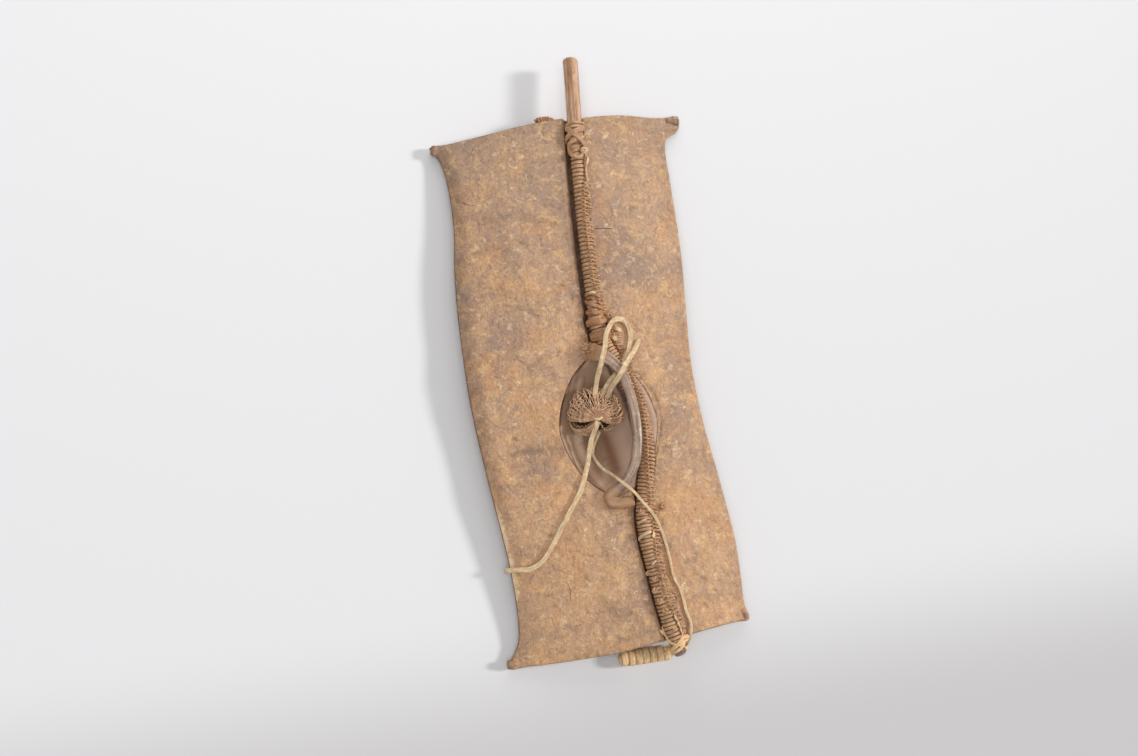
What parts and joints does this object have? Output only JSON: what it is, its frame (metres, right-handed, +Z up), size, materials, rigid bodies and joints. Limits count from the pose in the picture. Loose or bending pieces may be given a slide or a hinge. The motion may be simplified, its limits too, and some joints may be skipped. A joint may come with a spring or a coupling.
{
  "type": "hide shield",
  "caption": "Rectangular stiff hide shield, grip side up: bent wooden stave laced down the back, a deep hand recess with a rolled hide grip, a strand pompom and loose thongs.",
  "frame": {"origin": "under the middle of the shield without its thongs, on the surface that it lies on", "axes": "+Y along the stave towards its bare end, +Z up out of the grip side, +X across to the right when seen from the grip side"},
  "size_m": [0.398, 0.937, 0.084],
  "materials": {
    "hide": "dry tan rawhide, stained and scratched",
    "stave_wood": "whittled and hand polished",
    "lacing": "dark twisted rawhide cord",
    "windings": "orange-brown hide strip",
    "grip_hide": "smooth dark hide, worn",
    "strands": "curly tan hide strands",
    "pale_thong": "pale flat hide thong"
  },
  "bodies": {
    "root": {"hide_panel": "hide", "stave": "stave_wood", "upper_lacing": "lacing", "grip_windings": "windings", "lower_lacing": "lacing", "hand_grip": "grip_hide", "pompom": "strands", "thong_roll": "pale_thong", "edge_knot": "lacing", "loop_thong": "pale_thong", "end_thong": "pale_thong", "edge_thong": "pale_thong", "long_thong": "pale_thong"}
  },
  "joints": []
}
